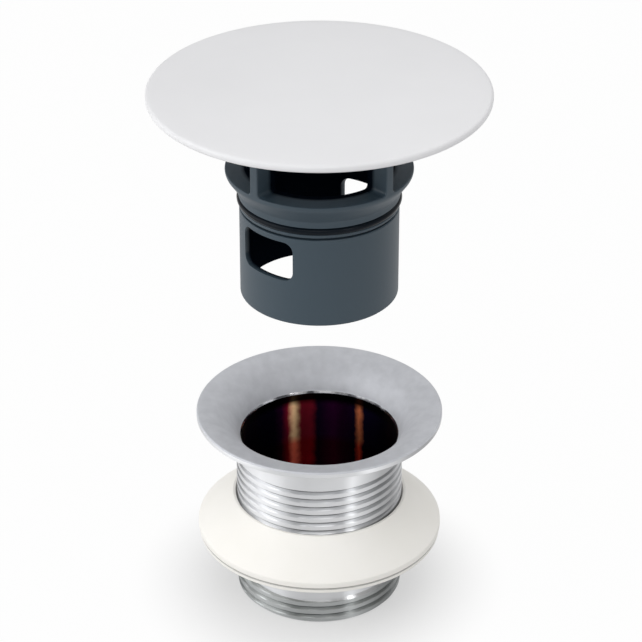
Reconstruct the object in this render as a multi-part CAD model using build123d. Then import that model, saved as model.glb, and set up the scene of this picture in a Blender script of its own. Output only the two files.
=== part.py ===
from build123d import *
from math import atan2, cos, hypot, sin
import os

# Basin waste, drawn with its plug lifted out above the body. Millimetres, +Z up.
# The origin is the centre of the tail's lower end, and everything turns about Z.

# Waste body: flared flange, bore and threaded tail
body_height = 51.5
flange_diameter = 61.6
flange_edge = 1.9
flange_round = 0.7
flange_seat_width = 1.5
rim_land = 0.5
rim_round = 0.45
throat_depth = 7.3
throat_bevel = 0.5
throat_bevel_width = 0.35
thread_diameter = 41.91
tail_wall = 1.355
thread_pitch = 2.309
thread_depth = 0.7
thread_groove_width = 1.15
tail_thread_length = 6.5
relief_depth = 0.655
relief_length = 8.5
neck_length = 1.8
tail_chamfer = 0.8

# Conical rubber washer on the tail
washer_diameter = 61.8
washer_base = 16.2
washer_height = 11.0
washer_grip_gap = 0.05
washer_crest_width = 1.0
washer_rim_height = 1.4
washer_rim_round = 0.6
washer_line_height = 0.7
washer_line_depth = 1.4
washer_lip_height = 0.9
washer_lip_setback = 0.2
washer_lip_round = 0.3
washer_crest_round = 0.4

# Plug: how far it is drawn up from its seat, and how it passes the bore
plug_lift = 69.3
plug_clearance = 0.3
seal_squeeze = 0.3

# Carrier, one moulding, from the foot of its tube to its top plate
tube_wall = 1.5
tube_length = 23.6
tube_foot_round = 0.4
tube_top_round = 0.3
bead_height = 0.9
bead_proud = 0.15
bead_round = 0.35
bead_line_width = 0.6
bead_line_depth = 0.8
seal_section = 1.7
seal_slack = 0.15
seal_gap = 0.02
bowl_foot_setback = 0.1
bowl_overhang = 3.1
bowl_neck = 1.5
bowl_neck_round = 1.5
bowl_height = 4.4
bowl_rim = 1.0
bowl_round = 2.0
ledge_width = 6.1
collar_height = 9.4
window_edge_round = 0.3
edge_tolerance = 1e-3
post_count = 4
post_width = 2.4
post_foot_round = 1.0
post_height = 15.3
top_plate = 2.2
drain_window_width = 15.6
drain_window_height = 10.2
drain_window_sill = 11.4
drain_window_round = 2.4
drain_window_turn = -45.0

# Glazed cover on the top plate
cover_diameter = 82.0
cover_body = 2.45
cover_crown = 0.7
cover_edge = 1.8
cover_round = 0.75
cover_recess = 0.9
cover_recess_gap = 0.15
cover_foot_width = 1.6

# Radii of the body
flange_radius = flange_diameter / 2
thread_radius = thread_diameter / 2
relief_radius = thread_radius - relief_depth
bore_radius = thread_radius - tail_wall
throat_radius = bore_radius + throat_bevel_width
dish_radius = flange_radius - rim_land
flange_under = body_height - flange_edge
seat_inner_radius = flange_radius - flange_round - flange_seat_width

# The flare is one arc, level at the rim, that drops throat_depth on its way to the throat
flare_reach = dish_radius - throat_radius
flare_radius = (flare_reach**2 + throat_depth**2) / (2 * throat_depth)
flare_centre_height = body_height - flare_radius

# Radii of the plug, which follow from the bore
tube_radius = bore_radius - plug_clearance
tube_inner_radius = tube_radius - tube_wall
bead_radius = tube_radius + bead_proud
seal_radius = bore_radius + seal_squeeze
groove_radius = seal_radius - seal_section - seal_gap
groove_height = seal_section + seal_slack
bowl_foot_radius = bore_radius - bowl_foot_setback
bowl_radius = bowl_foot_radius + bowl_overhang
ledge_inner_radius = bowl_radius - ledge_width

# Heights along the carrier, above the foot of its tube
groove_floor = tube_length + bead_height
bowl_foot = groove_floor + groove_height
bowl_edge = bowl_foot + bowl_neck + bowl_height
ledge = bowl_edge + bowl_rim
plate_floor = ledge + post_height
plate_top = plate_floor + top_plate

# Seated, the cone of the bowl lies tangent on the flare of the body
bowl_slope = atan2(bowl_height, bowl_radius - bowl_foot_radius)
bowl_to_flare = flare_radius - sin(bowl_slope) * (dish_radius - bowl_radius)
plug_seat = flare_centre_height - bowl_edge + bowl_to_flare / cos(bowl_slope)
plug_base = plug_seat + plug_lift


def turned(outline):
    """Solid of revolution about Z from a closed outline of radius and height."""
    with BuildPart() as piece:
        with BuildSketch(Plane.XZ):
            with BuildLine():
                add(outline)
            make_face()
        revolve(axis=Axis.Z)
    return piece.part


def thread_turns(low, high):
    """Outline of the thread between two heights, with each turn drawn as a ring."""
    points = []
    for turn in range(int((high - low) / thread_pitch)):
        root = low + (turn + 0.5) * thread_pitch
        points.append((thread_radius, root - thread_groove_width / 2))
        points.append((thread_radius - thread_depth, root))
        points.append((thread_radius, root + thread_groove_width / 2))
    return points


def make_waste_body():
    """Thin brass turning: the flare outside follows the flare inside, down to the tail."""
    neck_height = flange_under - (seat_inner_radius - thread_radius)
    relief_top = tail_thread_length + relief_length
    throat_height = body_height - throat_depth
    with BuildLine() as outline:
        flare = TangentArc((dish_radius, body_height), (throat_radius, throat_height), tangent=(-1, 0))
        Polyline(
            flare @ 1,
            (bore_radius, throat_height - throat_bevel),
            (bore_radius, 0),
            (thread_radius - tail_chamfer, 0),
            (thread_radius, tail_chamfer),
            (thread_radius, tail_thread_length),
            (relief_radius, tail_thread_length + relief_depth),
            (relief_radius, relief_top - relief_depth),
            (thread_radius, relief_top),
            *thread_turns(relief_top, neck_height - neck_length),
            (thread_radius, neck_height),
        )
        neck = TangentArc(
            (thread_radius, neck_height), (seat_inner_radius, flange_under), tangent=(0, 1)
        )
        FilletPolyline(
            neck @ 1,
            (flange_radius, flange_under),
            (flange_radius, body_height),
            flare @ 0,
            radius=(flange_round, rim_round),
        )
    return turned(outline.line)


def make_taper_washer():
    """Rubber ring that grips the thread: conical top, rim, fine line and lower lip."""
    washer_radius = washer_diameter / 2
    grip_radius = thread_radius + washer_grip_gap
    lip_top = washer_base + washer_lip_height
    rim_bottom = lip_top + washer_line_height
    lip_radius = washer_radius - washer_lip_setback
    outline = FilletPolyline(
        (grip_radius, washer_base),
        (lip_radius, washer_base),
        (lip_radius, lip_top),
        (washer_radius - washer_line_depth, (lip_top + rim_bottom) / 2),
        (washer_radius, rim_bottom),
        (washer_radius, rim_bottom + washer_rim_height),
        (grip_radius + washer_crest_width, washer_base + washer_height),
        (grip_radius, washer_base + washer_height),
        radius=(0, washer_lip_round, 0, 0, 0, washer_rim_round, washer_crest_round, 0),
        close=True,
    )
    return turned(outline)


def frames_a_window(edge):
    """True for the edges round the openings between the posts, on the outer face."""
    places = [edge @ share for share in (0, 0.5, 1)]
    on_face = all(abs(hypot(place.X, place.Y) - bowl_radius) < edge_tolerance for place in places)
    return on_face and ledge - edge_tolerance < edge.center().Z < plate_floor + edge_tolerance


def make_carrier():
    """Moulding with a ledge that lets the water in and a tube that guides the plug."""
    line_bottom = tube_length - bead_line_width
    line_radius = tube_radius - bead_line_depth
    collar_foot = ledge - collar_height
    shell = turned(
        FilletPolyline(
            (tube_inner_radius, 0),
            (tube_radius, 0),
            (tube_radius, line_bottom),
            (line_radius, line_bottom),
            (line_radius, tube_length),
            (bead_radius, tube_length),
            (bead_radius, groove_floor),
            (groove_radius, groove_floor),
            (groove_radius, bowl_foot),
            (bowl_foot_radius, bowl_foot),
            (bowl_foot_radius, bowl_foot + bowl_neck),
            (bowl_radius, bowl_edge),
            (bowl_radius, ledge),
            (ledge_inner_radius, ledge),
            (ledge_inner_radius, collar_foot),
            (tube_inner_radius, collar_foot - (tube_inner_radius - ledge_inner_radius)),
            radius=(
                *(0, tube_foot_round, tube_top_round, 0, 0, bead_round, bead_round, 0),
                *(0, 0, bowl_neck_round, bowl_round, 0, 0, 0, 0),
            ),
            close=True,
        )
    )
    with BuildPart() as carrier:
        add(shell)
        with BuildSketch(Plane.XY.offset(ledge)):
            with PolarLocations(0, post_count, start_angle=180 / post_count):
                Rectangle(2 * bowl_radius, post_width, align=(Align.MIN, Align.CENTER))
            Circle(bowl_radius, mode=Mode.INTERSECT)
            Circle(ledge_inner_radius, mode=Mode.SUBTRACT)
        extrude(amount=post_height)
        with Locations((0, 0, plate_floor)):
            Cylinder(bowl_radius, top_plate, align=(Align.CENTER, Align.CENTER, Align.MIN))
        straight = carrier.edges().filter_by(GeomType.LINE)
        feet = straight.filter_by_position(Axis.Z, ledge, ledge)
        heads = straight.filter_by_position(Axis.Z, plate_floor, plate_floor)
        fillet(feet + heads, post_foot_round)
        fillet(carrier.edges().filter_by(frames_a_window), window_edge_round)
        with BuildSketch(Plane.XZ.rotated((0, 0, drain_window_turn))):
            with Locations((0, drain_window_sill + drain_window_height / 2)):
                RectangleRounded(drain_window_width, drain_window_height, drain_window_round)
        extrude(amount=2 * bowl_radius, both=True, mode=Mode.SUBTRACT)
    return carrier.part.moved(Pos(0, 0, plug_base))


def make_seal_ring():
    """Rubber ring lying on the lower flank of its groove."""
    seal_height = groove_floor + seal_gap + seal_section / 2
    ring = Torus(seal_radius - seal_section / 2, seal_section / 2)
    return ring.moved(Pos(0, 0, plug_base + seal_height))


def make_cover():
    """Slightly crowned disc, thin at its edge, with a shallow recess for the top plate."""
    cover_radius = cover_diameter / 2
    recess_radius = bowl_radius + cover_recess_gap
    edge_top = plate_top + cover_body
    foot_height = plate_top - cover_recess
    with BuildPart() as cover:
        with BuildSketch(Plane.XZ) as section:
            with BuildLine():
                crown = TangentArc((0, edge_top + cover_crown), (cover_radius, edge_top), tangent=(1, 0))
                Polyline(
                    crown @ 1,
                    (cover_radius, edge_top - cover_edge),
                    (recess_radius + cover_foot_width, foot_height),
                    (recess_radius, foot_height),
                    (recess_radius, plate_top),
                    (0, plate_top),
                    crown @ 0,
                )
            make_face()
            fillet(section.vertices().group_by(Axis.X)[-1], cover_round)
        revolve(axis=Axis.Z)
    return cover.part.moved(Pos(0, 0, plug_base))


pieces = {
    "waste_body": make_waste_body(),
    "taper_washer": make_taper_washer(),
    "carrier": make_carrier(),
    "seal_ring": make_seal_ring(),
    "cover": make_cover(),
}

os.makedirs("parts", exist_ok=True)
for name, piece in pieces.items():
    piece.label = name
    export_step(piece, f"parts/{name}.step")
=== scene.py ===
from math import atan2, cos, degrees, hypot, pi, radians, sin, tan

import bpy
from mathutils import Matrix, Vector


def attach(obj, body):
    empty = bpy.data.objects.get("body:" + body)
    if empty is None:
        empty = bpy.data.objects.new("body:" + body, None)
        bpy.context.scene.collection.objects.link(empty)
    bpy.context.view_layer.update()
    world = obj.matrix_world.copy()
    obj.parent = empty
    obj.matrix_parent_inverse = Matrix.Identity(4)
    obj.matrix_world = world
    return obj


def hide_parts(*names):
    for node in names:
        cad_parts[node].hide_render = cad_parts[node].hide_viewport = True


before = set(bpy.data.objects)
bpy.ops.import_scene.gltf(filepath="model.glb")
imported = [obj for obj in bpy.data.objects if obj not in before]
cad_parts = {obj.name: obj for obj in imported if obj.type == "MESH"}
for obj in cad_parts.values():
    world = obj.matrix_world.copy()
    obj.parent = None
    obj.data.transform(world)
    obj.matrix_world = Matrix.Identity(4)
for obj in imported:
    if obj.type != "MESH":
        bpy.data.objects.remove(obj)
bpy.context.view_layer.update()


# Waste body
# A thin brass turning that carries everything else: a flange flared like a trumpet, a plain neck and a
# threaded tail with a relief band. It is chromed outside and left as bare, dark metal in the bore, where
# the runs of colour are painted reflections of the lamps.
mm = 0.001
body_height = 51.5
flange_radius = 30.8
flange_edge = 1.9
flange_round = 0.7
rim_land = 0.5
rim_round = 0.45
seat_inner_radius = 28.6
throat_radius = 19.95
throat_depth = 7.3
throat_bevel = 0.5
bore_radius = 19.6
streak_fade_floor = 20.0
crest_radius = 20.955
relief_radius = 20.3
relief_floor = 6.5
relief_top = 15.0
tail_chamfer = 0.8
neck_length = 1.8
thread_pitch = 2.309
thread_depth = 1.0
thread_land = 0.5
thread_runout = 0.8
front = 1.5 * pi
rows_per_pitch = 18
flare_steps = 40
sharp_angle = 40

flange_under = body_height - flange_edge
neck_radius = seat_inner_radius - crest_radius
neck_height = flange_under - neck_radius
thread_top = neck_height - neck_length
throat_height = body_height - throat_depth
bore_top = throat_height - throat_bevel
dish_radius = flange_radius - rim_land
flare_reach = dish_radius - throat_radius
flare_radius = (flare_reach**2 + throat_depth**2) / (2 * throat_depth)
flare_end = 180 - degrees(atan2(flare_radius - throat_depth, flare_reach))
flare_centre = (dish_radius, body_height - flare_radius)
relief_depth = crest_radius - relief_radius


def arc(centre, radius, start, end, steps=16):
    """Points of an arc from one angle to another, in degrees."""
    turns = [radians(start + (end - start) * step / steps) for step in range(steps + 1)]
    return [(centre[0] + radius * cos(turn), centre[1] + radius * sin(turn)) for turn in turns]


def rounded(before, corner, after, radius, steps=6):
    """Points that round off the corner between two straight runs."""
    to_before = Vector(before) - Vector(corner)
    to_after = Vector(after) - Vector(corner)
    half = to_before.angle(to_after) / 2
    reach = radius / tan(half)
    to_before.normalize()
    to_after.normalize()
    middle = Vector(corner) + (to_before + to_after).normalized() * radius / sin(half)
    first = Vector(corner) + to_before * reach - middle
    last = Vector(corner) + to_after * reach - middle
    swing = first.angle_signed(last)
    points = []
    for step in range(steps + 1):
        turn = -swing * step / steps
        x = first.x * cos(turn) - first.y * sin(turn)
        y = first.x * sin(turn) + first.y * cos(turn)
        points.append((middle.x + x, middle.y + y))
    return points


def turned(name, outline, columns=192, cut=None, capped=False):
    """Mesh turned about Z from an outline of radius and height, given anticlockwise in millimetres."""
    points = []
    for radius, height in outline:
        for column in range(columns):
            turn = 2 * pi * column / columns
            reach = (radius - cut(radius, height, turn)) if cut else radius
            points.append((reach * cos(turn) * mm, reach * sin(turn) * mm, height * mm))
    faces = []
    rows = len(outline)
    for row in range(rows - 1 if capped else rows):
        low = row * columns
        high = (row + 1) % rows * columns
        for column in range(columns):
            beside = (column + 1) % columns
            faces.append((low + column, low + beside, high + beside, high + column))
    if capped:
        faces.append(tuple(reversed(range(columns))))
        faces.append(tuple(range((rows - 1) * columns, rows * columns)))
    mesh = bpy.data.meshes.new(name)
    mesh.from_pydata(points, [], faces)
    mesh.shade_smooth()
    mesh.set_sharp_from_angle(angle=radians(sharp_angle))
    piece = bpy.data.objects.new(name, mesh)
    bpy.context.scene.collection.objects.link(piece)
    return piece


def thread_cut(radius, height, turn):
    """Depth of the right-hand thread groove at a place on the tail."""
    on_tail = tail_chamfer <= height <= relief_floor or relief_top <= height <= thread_top
    if radius < crest_radius or not on_tail:
        return 0
    fade = min(1, abs(height - thread_top) / thread_runout)
    phase = ((height - relief_top) / thread_pitch - 0.5 - (turn - front) / (2 * pi)) % 1
    slope = max(0, (abs(2 * phase - 1) - thread_land) / (1 - thread_land))
    return thread_depth * fade * slope


def steps_up(low, high):
    """Heights close enough together to show the thread."""
    count = round((high - low) / thread_pitch * rows_per_pitch)
    return [low + (high - low) * step / count for step in range(count + 1)]


outer_edge = (flange_radius, flange_under)
rim_edge = (flange_radius, body_height)
outer_side = [(crest_radius - tail_chamfer, 0)]
outer_side += [(crest_radius, height) for height in steps_up(tail_chamfer, relief_floor)]
outer_side += [(relief_radius, relief_floor + relief_depth), (relief_radius, relief_top - relief_depth)]
outer_side += [(crest_radius, height) for height in steps_up(relief_top, thread_top)]
outer_side += arc((seat_inner_radius, neck_height), neck_radius, 180, 90)
outer_side += rounded((seat_inner_radius, flange_under), outer_edge, rim_edge, flange_round)
outer_side += rounded(outer_edge, rim_edge, (dish_radius, body_height), rim_round)
dish = arc(flare_centre, flare_radius, 90, flare_end, flare_steps)
bore = [(bore_radius, bore_top), (bore_radius, 0)]
waste_body = turned("waste_body_looks", outer_side + dish + bore, cut=thread_cut)

# The root colours are painted shade, darkening the chrome towards the roots of the thread.
chrome_color = (0.9, 0.91, 0.93)
chrome_root_shade = (0.06, 0.065, 0.07)
# Painted shade: a darker copy of the chrome for the end of the tail below the relief band.
shaded_tail_color = (0.55, 0.57, 0.57)
shaded_tail_root_shade = (0.03, 0.035, 0.035)
satin_color = (0.69, 0.7, 0.73)
satin_tones = ((0.3, (0.66, 0.67, 0.7)), (0.7, (0.72, 0.73, 0.76)))
edge_color = (0.8, 0.8, 0.82)
# Painted glints on the throat bevel: patches from near-black to near-white.
painted_glint_tones = ((0.42, (0.12, 0.12, 0.13)), (0.6, (0.95, 0.95, 0.97)))
# Bore colours: orange, gold, crimson and purple runs are painted reflections of the lamps, on a near-black
# that is partly the dark metal and partly painted shade.
brass_color = (0.1, 0.02, 0.01)
dark_bore_and_painted_shade = (0.004, 0.002, 0.012)
painted_purple_reflection = (0.035, 0.002, 0.03)
painted_crimson_reflection = (0.25, 0.011, 0.026)
painted_orange_highlight = (0.62, 0.17, 0.07)
painted_golden_highlight = (0.92, 0.6, 0.32)
streak_wander = 0.013
quarter_turn = 0.25
mark_depth = 0.05
# Painted reflections: brightness of the chrome by bearing round the tail, bright where lamps would be
# mirrored and darker on the right.
painted_reflections_round_the_tail = (
    (0, 0.6),
    (0.05, 0.74),
    (0.12, 0.95),
    (0.22, 0.72),
    (0.29, 0.8),
    (0.31, 1),
    (0.375, 0.5),
    (0.41, 0.42),
    (0.55, 0.9),
    (0.63, 0.55),
    (0.71, 0.95),
    (0.78, 0.6),
    (0.86, 1),
    (1, 0.6),
)
# Painted reflections: the colour round the bore by bearing, with narrow lamp streaks.
painted_streaks_round_the_bore = (
    (0, dark_bore_and_painted_shade),
    (0.645, dark_bore_and_painted_shade),
    (0.656, painted_orange_highlight),
    (0.667, dark_bore_and_painted_shade),
    (0.712, painted_purple_reflection),
    (0.749, dark_bore_and_painted_shade),
    (0.764, painted_crimson_reflection),
    (0.783, painted_crimson_reflection),
    (0.795, painted_golden_highlight),
    (0.8, painted_golden_highlight),
    (0.811, painted_crimson_reflection),
    (0.828, painted_purple_reflection),
    (0.845, dark_bore_and_painted_shade),
    (1, dark_bore_and_painted_shade),
)
# Shapes the painted streaks up the bore: black just under the throat, redder and darker toward the bottom.
painted_fade_up_the_bore = (
    (0, (0.2, 0.06, 0.05)),
    (0.16, (1, 0.25, 0.3)),
    (0.38, (1, 0.3, 0.3)),
    (0.48, (1, 1, 1)),
    (0.86, (1, 1, 1)),
    (0.93, (0.02, 0.02, 0.02)),
    (1, (0.02, 0.02, 0.02)),
)


def shader(name, color, roughness, metallic=0):
    """New material with its node tree and its shader."""
    material = bpy.data.materials.new(name)
    material.use_nodes = True
    principled = material.node_tree.nodes["Principled BSDF"]
    principled.inputs["Base Color"].default_value = (*color, 1)
    principled.inputs["Roughness"].default_value = roughness
    principled.inputs["Metallic"].default_value = metallic
    return material, material.node_tree, principled


def calculated(tree, operation, *values):
    """Outcome of one sum on sockets and plain numbers."""
    node = tree.nodes.new("ShaderNodeMath")
    node.operation = operation
    for socket, value in zip(node.inputs, values):
        if isinstance(value, (int, float)):
            socket.default_value = value
        else:
            tree.links.new(value, socket)
    return node.outputs["Value"]


def own_place(tree):
    """Place on a piece, in metres from the piece's own origin."""
    return tree.nodes.new("ShaderNodeTexCoord").outputs["Object"]


def own_height(tree):
    """Height of a place on a piece."""
    split = tree.nodes.new("ShaderNodeSeparateXYZ")
    tree.links.new(own_place(tree), split.inputs["Vector"])
    return split.outputs["Z"]


def axis_distance(tree):
    """Distance of a place on a piece from the axis."""
    split = tree.nodes.new("ShaderNodeSeparateXYZ")
    level = tree.nodes.new("ShaderNodeCombineXYZ")
    reach = tree.nodes.new("ShaderNodeVectorMath")
    reach.operation = "LENGTH"
    tree.links.new(own_place(tree), split.inputs["Vector"])
    tree.links.new(split.outputs["X"], level.inputs["X"])
    tree.links.new(split.outputs["Y"], level.inputs["Y"])
    tree.links.new(level.outputs["Vector"], reach.inputs[0])
    return reach.outputs["Value"]


def bearing(tree):
    """Share of a full turn about the axis: the front is at a quarter and the back at three quarters."""
    turn = tree.nodes.new("ShaderNodeTexGradient")
    turn.gradient_type = "RADIAL"
    tree.links.new(own_place(tree), turn.inputs["Vector"])
    return turn.outputs["Fac"]


def mottle(tree, place, scale, detail=2):
    """Soft patches from 0 to 1."""
    patches = tree.nodes.new("ShaderNodeTexNoise")
    patches.inputs["Scale"].default_value = scale
    patches.inputs["Detail"].default_value = detail
    tree.links.new(place, patches.inputs["Vector"])
    return patches.outputs["Fac"]


def share_between(tree, value, low, high):
    """How far a value has come from a low to a high size in millimetres, from 0 to 1."""
    way = tree.nodes.new("ShaderNodeMapRange")
    way.inputs["From Min"].default_value = low * mm
    way.inputs["From Max"].default_value = high * mm
    tree.links.new(value, way.inputs["Value"])
    return way.outputs["Result"]


def colors_along(tree, share, stops):
    """Colour that changes with a share from 0 to 1, by stops in rising order."""
    ramp = tree.nodes.new("ShaderNodeValToRGB")
    elements = ramp.color_ramp.elements
    for element, (at, color) in zip(elements, (stops[0], stops[-1])):
        element.position = at
        element.color = (*color, 1)
    for at, color in stops[1:-1]:
        elements.new(at).color = (*color, 1)
    tree.links.new(share, ramp.inputs["Fac"])
    return ramp.outputs["Color"]


def multiplied(tree, first, second):
    """Product of two colours."""
    both = tree.nodes.new("ShaderNodeMix")
    both.data_type = "RGBA"
    both.blend_type = "MULTIPLY"
    both.inputs["Factor"].default_value = 1
    tree.links.new(first, both.inputs["A"])
    tree.links.new(second, both.inputs["B"])
    return both.outputs["Result"]


def tinted(tree, principled, tones, scale, detail=2):
    """Lets the colour of a piece drift between two tones."""
    color = colors_along(tree, mottle(tree, own_place(tree), scale, detail), tones)
    tree.links.new(color, principled.inputs["Base Color"])


def raised(tree, principled, pattern, strength, depth):
    """Lets a pattern catch the light as fine relief, with its depth in millimetres."""
    bump = tree.nodes.new("ShaderNodeBump")
    bump.inputs["Strength"].default_value = strength
    bump.inputs["Distance"].default_value = depth * mm
    tree.links.new(pattern, bump.inputs["Height"])
    tree.links.new(bump.outputs["Normal"], principled.inputs["Normal"])


def grained(tree, principled, scale, strength, depth):
    """Fine grain all over a piece."""
    raised(tree, principled, mottle(tree, own_place(tree), scale), strength, depth)


def turning_marks(tree, principled, scale, strength):
    """Fine rings that the lathe tool left, the same all the way round."""
    section = tree.nodes.new("ShaderNodeCombineXYZ")
    tree.links.new(axis_distance(tree), section.inputs["X"])
    tree.links.new(own_height(tree), section.inputs["Z"])
    rings = mottle(tree, section.outputs["Vector"], scale, detail=3)
    raised(tree, principled, rings, strength, mark_depth)


def along_the_turning(tree, principled, amount):
    """Lets the rings left by the lathe spread reflections along the axis."""
    around = tree.nodes.new("ShaderNodeTangent")
    around.direction_type = "RADIAL"
    around.axis = "Z"
    principled.inputs["Anisotropic"].default_value = amount
    principled.inputs["Anisotropic Rotation"].default_value = quarter_turn
    tree.links.new(around.outputs["Tangent"], principled.inputs["Tangent"])


def thread_chrome(name, color, root_shade_color):
    """Turned chrome with painted shade that darkens it towards the roots of the thread, and painted
    reflections: brighter and darker bands by bearing round the tail.
    """
    plated, tree, principled = shader(name, color, roughness=0.32, metallic=1)
    along_the_turning(tree, principled, amount=0.95)
    turning_marks(tree, principled, scale=2600, strength=0.25)
    # Painted shade: the chrome goes dark towards the roots of the thread.
    root_shade_share = share_between(tree, axis_distance(tree), crest_radius - thread_depth, relief_radius)
    painted_root_shade = colors_along(tree, root_shade_share, ((0, root_shade_color), (1, color)))
    # Painted reflections: bright and dark bands round the tail, by bearing.
    reflection_levels = [(at, (level, level, level)) for at, level in painted_reflections_round_the_tail]
    painted_reflections = colors_along(tree, bearing(tree), reflection_levels)
    tree.links.new(multiplied(tree, painted_root_shade, painted_reflections), principled.inputs["Base Color"])
    return plated


chrome = thread_chrome("chromed_brass", chrome_color, chrome_root_shade)
shaded_tail_chrome = thread_chrome("shaded_tail_chrome", shaded_tail_color, shaded_tail_root_shade)

satin_chrome, tree, principled = shader("satin_chrome", satin_color, roughness=0.75, metallic=1)
turning_marks(tree, principled, scale=1800, strength=0.3)
tinted(tree, principled, satin_tones, scale=380, detail=5)

# Painted glints: the throat bevel's colour runs in patches from near-black to near-white.
painted_glint_edge, tree, principled = shader("painted_glint_edge", edge_color, roughness=0.2, metallic=1)
tinted(tree, principled, painted_glint_tones, scale=160, detail=3)

bare_brass, tree, principled = shader("bare_brass", brass_color, roughness=0.3, metallic=1)
along_the_turning(tree, principled, amount=0.9)
turning_marks(tree, principled, scale=1500, strength=0.2)
specks = mottle(tree, own_place(tree), scale=420, detail=4)
specks = calculated(tree, "SUBTRACT", specks, 0.5)
wandering = calculated(tree, "MULTIPLY_ADD", specks, streak_wander, bearing(tree))
# Painted reflections: lamp streaks by bearing, shaped up the bore by the fade.
painted_runs = colors_along(tree, wandering, painted_streaks_round_the_bore)
rise = share_between(tree, own_height(tree), streak_fade_floor, bore_top)
streak_fade = colors_along(tree, rise, painted_fade_up_the_bore)
tree.links.new(multiplied(tree, painted_runs, streak_fade), principled.inputs["Base Color"])

finishes = [chrome, satin_chrome, bare_brass, painted_glint_edge, shaded_tail_chrome]
for finish in finishes:
    waste_body.data.materials.append(finish)
for face in waste_body.data.polygons:
    reach = hypot(face.center.x, face.center.y) / mm
    height = face.center.z / mm
    finish = chrome
    if reach < bore_radius and height < bore_top:
        finish = bare_brass
    elif reach < throat_radius and bore_top < height < throat_height:
        finish = painted_glint_edge
    # Painted shade: the end of the tail below the relief band gets the darker copy of the chrome.
    elif height < relief_floor:
        finish = shaded_tail_chrome
    elif face.normal.z > 0 and height > bore_top:
        finish = satin_chrome
    face.material_index = finishes.index(finish)
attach(waste_body, "root")
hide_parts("waste_body")


# Taper washer
# Soft cream rubber, moulded in one with a conical top, a narrow rim, a fine parting line and a thin lip.
# It is pushed up the tail and grips the thread, ready to be pressed against the underside of a basin.
washer_radius = 30.9
washer_hole = 21.005
washer_base = 16.2
washer_height = 11.0
washer_crest_width = 1.0
washer_crest_round = 0.3
washer_rim_height = 1.4
washer_rim_round = 0.6
washer_line_height = 0.7
washer_line_depth = 1.4
washer_lip_height = 0.9
washer_lip_setback = 0.2
washer_lip_round = 0.3
washer_hole_bevel = 0.4
washer_hole_bevel_depth = 0.8
cream_color = (0.93, 0.91, 0.87)
cream_tones = ((0.35, (0.92, 0.9, 0.85)), (0.7, (0.95, 0.93, 0.89)))
# Darker grey painted into the parting-line groove as painted shade.
line_color = (0.6, 0.59, 0.55)
line_shade_tones = ((0, (0.64, 0.635, 0.61)), (1, (0.74, 0.735, 0.71)))

washer_top = washer_base + washer_height
lip_top = washer_base + washer_lip_height
rim_bottom = lip_top + washer_line_height
rim_top = rim_bottom + washer_rim_height
lip_radius = washer_radius - washer_lip_setback
line_radius = washer_radius - washer_line_depth
foot = (washer_hole, washer_base)
lip_foot = (lip_radius, washer_base)
lip_edge = (lip_radius, lip_top)
line = (line_radius, (lip_top + rim_bottom) / 2)
rim_low = (washer_radius, rim_bottom)
rim_high = (washer_radius, rim_top)
crest = (washer_hole + washer_crest_width, washer_top)
crest_inner = (washer_hole + washer_hole_bevel, washer_top)
hole_edge = (washer_hole, washer_top - washer_hole_bevel_depth)
washer_outline = [foot]
washer_outline += rounded(foot, lip_foot, lip_edge, washer_lip_round)
washer_outline += [lip_edge, line, rim_low]
washer_outline += rounded(rim_low, rim_high, crest, washer_rim_round)
washer_outline += rounded(rim_high, crest, crest_inner, washer_crest_round)
washer_outline += [crest_inner, hole_edge]
washer = turned("taper_washer_looks", washer_outline)

cream, tree, principled = shader("cream_rubber", cream_color, roughness=0.55)
tinted(tree, principled, cream_tones, scale=55, detail=4)
grained(tree, principled, scale=900, strength=0.12, depth=0.1)
# Painted shade: the faces in the parting-line groove get a darker grey.
line_painted_shade, tree, principled = shader("washer_line", line_color, roughness=0.7)
tinted(tree, principled, line_shade_tones, scale=300)
washer.data.materials.append(cream)
washer.data.materials.append(line_painted_shade)
for face in washer.data.polygons:
    reach = hypot(face.center.x, face.center.y) / mm
    if lip_top < face.center.z / mm < rim_bottom and reach > line_radius:
        face.material_index = 1
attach(washer, "root")
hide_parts("taper_washer")


# Carrier
# One slate-coloured plastic moulding that guides the plug: top plate, four posts, ledge, bowl, seal groove
# and a tube with two drain windows. Its own modelled shape is shown, with the fine grain of the mould.
inside_radius = 17.9
outside_radius = 19.0
outside_sheen = 0.5
slate_color = (0.032, 0.054, 0.073)
# Near-black painted shade for the inside of the tube.
painted_inside_shade = (0.002, 0.004, 0.008)

slate, tree, principled = shader("slate_plastic", slate_color, roughness=0.5)
grained(tree, principled, scale=1400, strength=0.15, depth=0.08)
# Painted shade: inside the tube the colour goes to near-black and the specular level to none.
outside = share_between(tree, axis_distance(tree), inside_radius, outside_radius)
slate_with_painted_shade = colors_along(tree, outside, ((0, painted_inside_shade), (1, slate_color)))
sheen = calculated(tree, "MULTIPLY", outside, outside_sheen)
tree.links.new(slate_with_painted_shade, principled.inputs["Base Color"])
tree.links.new(sheen, principled.inputs["Specular IOR Level"])
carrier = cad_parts["carrier"]
carrier.data.materials.clear()
carrier.data.materials.append(slate)


# Seal ring
# A black rubber ring of round section, stretched into the groove under the bowl, where it stands a little
# proud so that the bore squeezes it.
seal_radius = 19.9
seal_section = 1.7
seal_gap = 0.02
groove_rise = 24.5
ring_points = 24
black_color = (0.003, 0.006, 0.01)

carrier_heights = [(carrier.matrix_world @ Vector(corner)).z / mm for corner in carrier.bound_box]
seal_height = min(carrier_heights) + groove_rise + seal_gap + seal_section / 2
ring_centre = (seal_radius - seal_section / 2, seal_height)
ring_outline = arc(ring_centre, seal_section / 2, 0, 360 - 360 / ring_points, ring_points - 1)
seal_ring = turned("seal_ring_looks", ring_outline)

black_rubber, tree, principled = shader("black_rubber", black_color, roughness=0.28)
principled.inputs["Specular IOR Level"].default_value = 0.1
grained(tree, principled, scale=1100, strength=0.15, depth=0.06)
seal_ring.data.materials.append(black_rubber)
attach(seal_ring, "root")
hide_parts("seal_ring")


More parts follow.
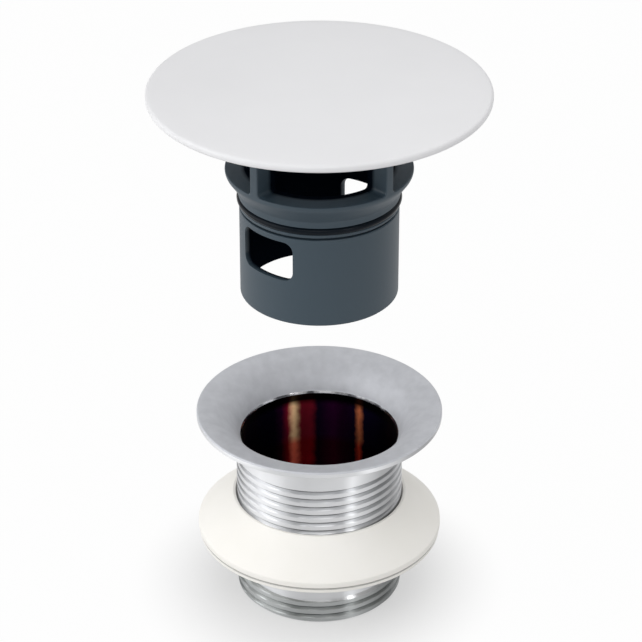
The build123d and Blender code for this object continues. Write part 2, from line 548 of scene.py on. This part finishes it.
# Cover
# A fired ceramic disc with a satin white glaze, very slightly crowned and thin at its rounded edge. A
# shallow recess underneath sits over the carrier's top plate.
cover_radius = 41.0
cover_body = 2.45
cover_crown = 0.7
cover_edge = 1.8
cover_round = 0.75
cover_foot_width = 1.6
recess_radius = 22.75
recess_depth = 0.9
hub_radius = 0.4
crown_steps = 24
glaze_color = (0.79, 0.79, 0.8)
glaze_tones = ((0.35, (0.78, 0.78, 0.795)), (0.7, (0.8, 0.8, 0.815)))

recess_top = max(carrier_heights)
edge_top = recess_top + cover_body
cover_foot = recess_top - recess_depth
crown_radius = (cover_radius**2 + cover_crown**2) / (2 * cover_crown)
crown_centre = edge_top + cover_crown - crown_radius
crown = []
for step in range(crown_steps + 1):
    inward = step / crown_steps
    reach = (cover_radius - cover_round) * (1 - inward) + hub_radius * inward
    crown.append((reach, crown_centre + (crown_radius**2 - reach**2) ** 0.5))
under_edge = (cover_radius, edge_top - cover_edge)
over_edge = (cover_radius, edge_top)
foot_edge = (recess_radius + cover_foot_width, cover_foot)
cover_outline = [(hub_radius, recess_top), (recess_radius, recess_top)]
cover_outline += [(recess_radius, cover_foot), foot_edge]
cover_outline += rounded(foot_edge, under_edge, over_edge, cover_round)
cover_outline += rounded(under_edge, over_edge, crown[0], cover_round)
cover_outline += crown[1:]
cover = turned("cover_looks", cover_outline, columns=256, capped=True)

glaze, tree, principled = shader("white_glaze", glaze_color, roughness=0.35)
principled.inputs["Specular IOR Level"].default_value = 0.3
principled.inputs["Coat Weight"].default_value = 0.12
principled.inputs["Coat Roughness"].default_value = 0.2
tinted(tree, principled, glaze_tones, scale=40, detail=3)
grained(tree, principled, scale=260, strength=0.05, depth=0.1)
cover.data.materials.append(glaze)
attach(cover, "root")
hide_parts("cover")


# Floor
# A plain white table that the tail stands on. Away from the object it is pure white in the picture and in
# reflections, and close to the object it keeps the soft shadow.
floor_half = 4.0
shadow_inner = 21
shadow_outer = 50
near_whiteness = 0.5
far_whiteness = 0.975
table_color = (0.6, 0.6, 0.6)

corners = [(-floor_half, -floor_half, 0), (floor_half, -floor_half, 0)]
corners += [(floor_half, floor_half, 0), (-floor_half, floor_half, 0)]
floor_mesh = bpy.data.meshes.new("floor")
floor_mesh.from_pydata(corners, [], [(0, 1, 2, 3)])
floor = bpy.data.objects.new("floor", floor_mesh)
bpy.context.scene.collection.objects.link(floor)

table, tree, principled = shader("white_table", table_color, roughness=0.8)
white = tree.nodes.new("ShaderNodeEmission")
white.inputs["Strength"].default_value = 1
path = tree.nodes.new("ShaderNodeLightPath")
seen = calculated(tree, "MAXIMUM", path.outputs["Is Camera Ray"], path.outputs["Is Glossy Ray"])
seen = calculated(tree, "MAXIMUM", seen, path.outputs["Is Transmission Ray"])
clear = tree.nodes.new("ShaderNodeMapRange")
clear.interpolation_type = "SMOOTHSTEP"
clear.inputs["From Min"].default_value = shadow_inner * mm
clear.inputs["From Max"].default_value = shadow_outer * mm
clear.inputs["To Min"].default_value = near_whiteness
clear.inputs["To Max"].default_value = far_whiteness
mix = tree.nodes.new("ShaderNodeMixShader")
tree.links.new(axis_distance(tree), clear.inputs["Value"])
tree.links.new(calculated(tree, "MULTIPLY", seen, clear.outputs["Result"]), mix.inputs["Fac"])
tree.links.new(principled.outputs["BSDF"], mix.inputs[1])
tree.links.new(white.outputs["Emission"], mix.inputs[2])
tree.links.new(mix.outputs["Shader"], tree.nodes["Material Output"].inputs["Surface"])
floor_mesh.materials.append(table)


# Studio light
# On the left a large softbox and a small low one, above the camera a softbox, on the right a narrow strip
# and behind a large soft light from overhead, all in an even grey room. Metres, watts and degrees.
middle_height = 0.075
room_grey = 0.45


def softbox(name, turn, rise, distance, width, height, power):
    """Area lamp that faces the object, turned to the right of its front and raised."""
    lamp = bpy.data.lights.new(name, "AREA")
    lamp.shape = "RECTANGLE"
    lamp.size = width
    lamp.size_y = height
    lamp.energy = power
    holder = bpy.data.objects.new(name, lamp)
    level = distance * cos(radians(rise))
    up = distance * sin(radians(rise))
    offset = Vector((level * sin(radians(turn)), -level * cos(radians(turn)), up))
    holder.location = Vector((0, 0, middle_height)) + offset
    holder.rotation_euler = (-offset).to_track_quat("-Z", "Y").to_euler()
    bpy.context.scene.collection.objects.link(holder)


softbox("left_softbox", turn=-74, rise=22, distance=0.7, width=0.6, height=0.6, power=2.15)
softbox("front_top", turn=-8, rise=48, distance=0.8, width=0.5, height=0.5, power=1.65)
softbox("left_edge", turn=-108, rise=4, distance=0.55, width=0.25, height=0.22, power=0.3)
softbox("right_strip", turn=40, rise=30, distance=0.7, width=0.06, height=0.4, power=0.55)
softbox("overhead", turn=149, rise=56, distance=0.8, width=0.9, height=0.9, power=1.65)
world = bpy.data.worlds.new("room")
world.use_nodes = True
world.node_tree.nodes["Background"].inputs["Color"].default_value = (room_grey, room_grey, room_grey, 1)
bpy.context.scene.world = world


# Camera
# A long lens a little to the left of the front, looking down on the object as the photograph does.
# Metres and degrees, with the lens and the sensor in millimetres.
camera_turn = -2.1
camera_pitch = 29.6
camera_distance = 0.672
camera_aim = 0.07624
focal_length = 153
sensor_width = 36
sideways_shift = 0.0026

camera_data = bpy.data.cameras.new("camera")
camera_data.lens = focal_length
camera_data.sensor_width = sensor_width
camera_data.shift_x = sideways_shift
camera = bpy.data.objects.new("camera", camera_data)
level = camera_distance * cos(radians(camera_pitch))
camera.location = (
    level * sin(radians(camera_turn)),
    -level * cos(radians(camera_turn)),
    camera_aim + camera_distance * sin(radians(camera_pitch)),
)
camera.rotation_euler = (radians(90 - camera_pitch), 0, radians(camera_turn))
bpy.context.scene.collection.objects.link(camera)
bpy.context.scene.camera = camera
bpy.context.scene.view_settings.view_transform = "Standard"
